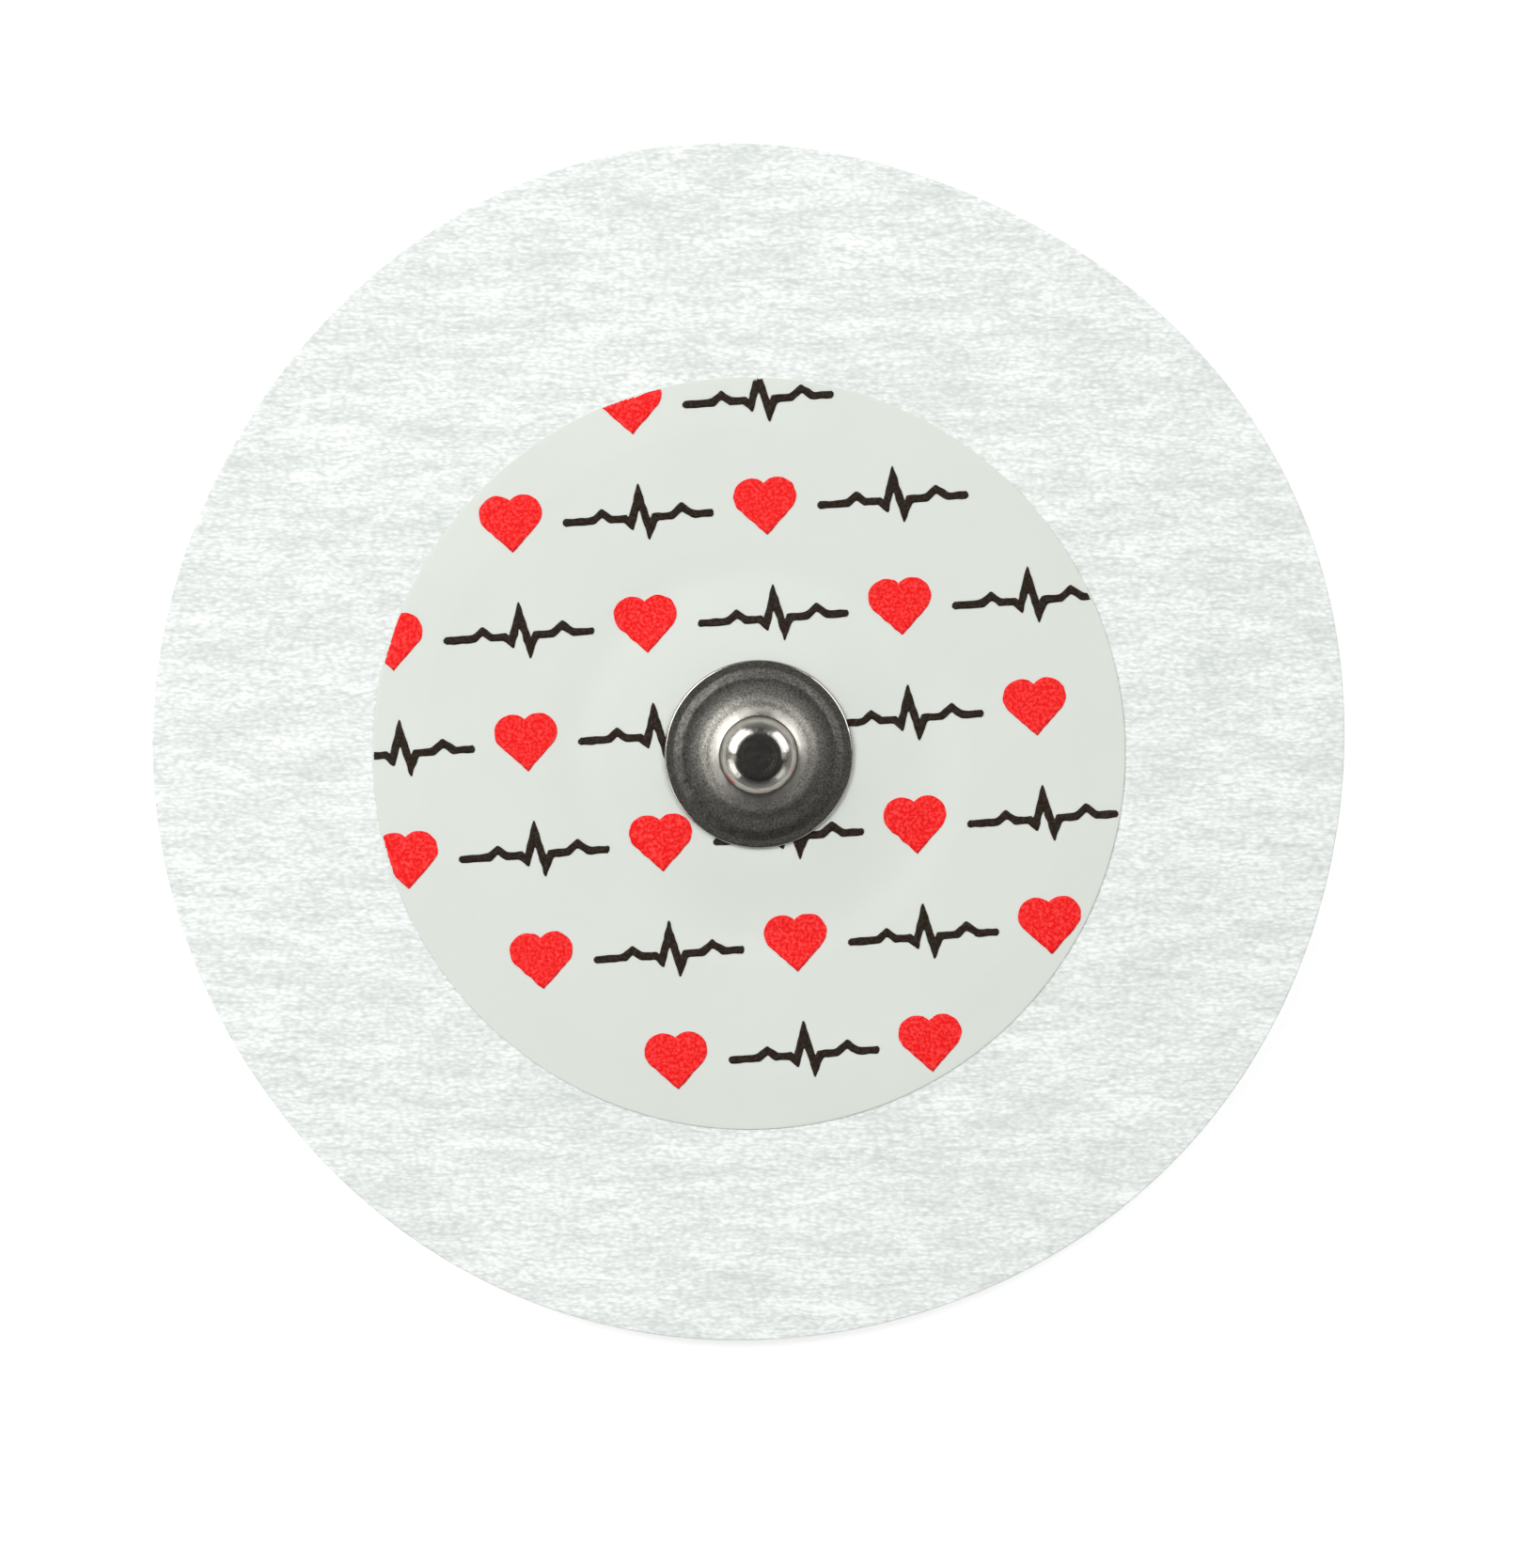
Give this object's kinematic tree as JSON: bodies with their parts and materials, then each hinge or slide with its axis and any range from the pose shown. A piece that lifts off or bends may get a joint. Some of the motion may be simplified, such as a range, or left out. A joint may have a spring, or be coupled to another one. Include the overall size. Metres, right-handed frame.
{
  "type": "ecg electrode",
  "caption": "Round disposable ECG electrode with a cloth tape backing, printed film label, central steel snap stud, gel pad and clear release liner.",
  "frame": {"origin": "under the middle of the round backing tape, on the surface that the electrode lies on", "axes": "+Z up through the electrode, towards the end of the snap stud; +X to the right and +Y up as the picture shows the printed face"},
  "size_m": [0.06, 0.06, 0.0048],
  "materials": {
    "stud_steel": "matt brim, bright head",
    "eyelet_plating": "silver chloride grey",
    "label_film": "satin",
    "red_ink": "satin",
    "black_ink": "satin",
    "cloth_tape": "nonwoven",
    "gel": "wet gloss",
    "liner_film": "clear"
  },
  "bodies": {
    "root": {"snap_stud": "stud_steel", "eyelet": "eyelet_plating", "label": "label_film", "print_hearts": "red_ink", "print_pulses": "black_ink", "backing_tape": "cloth_tape", "gel_pad": "gel", "release_liner": "liner_film"}
  },
  "joints": []
}
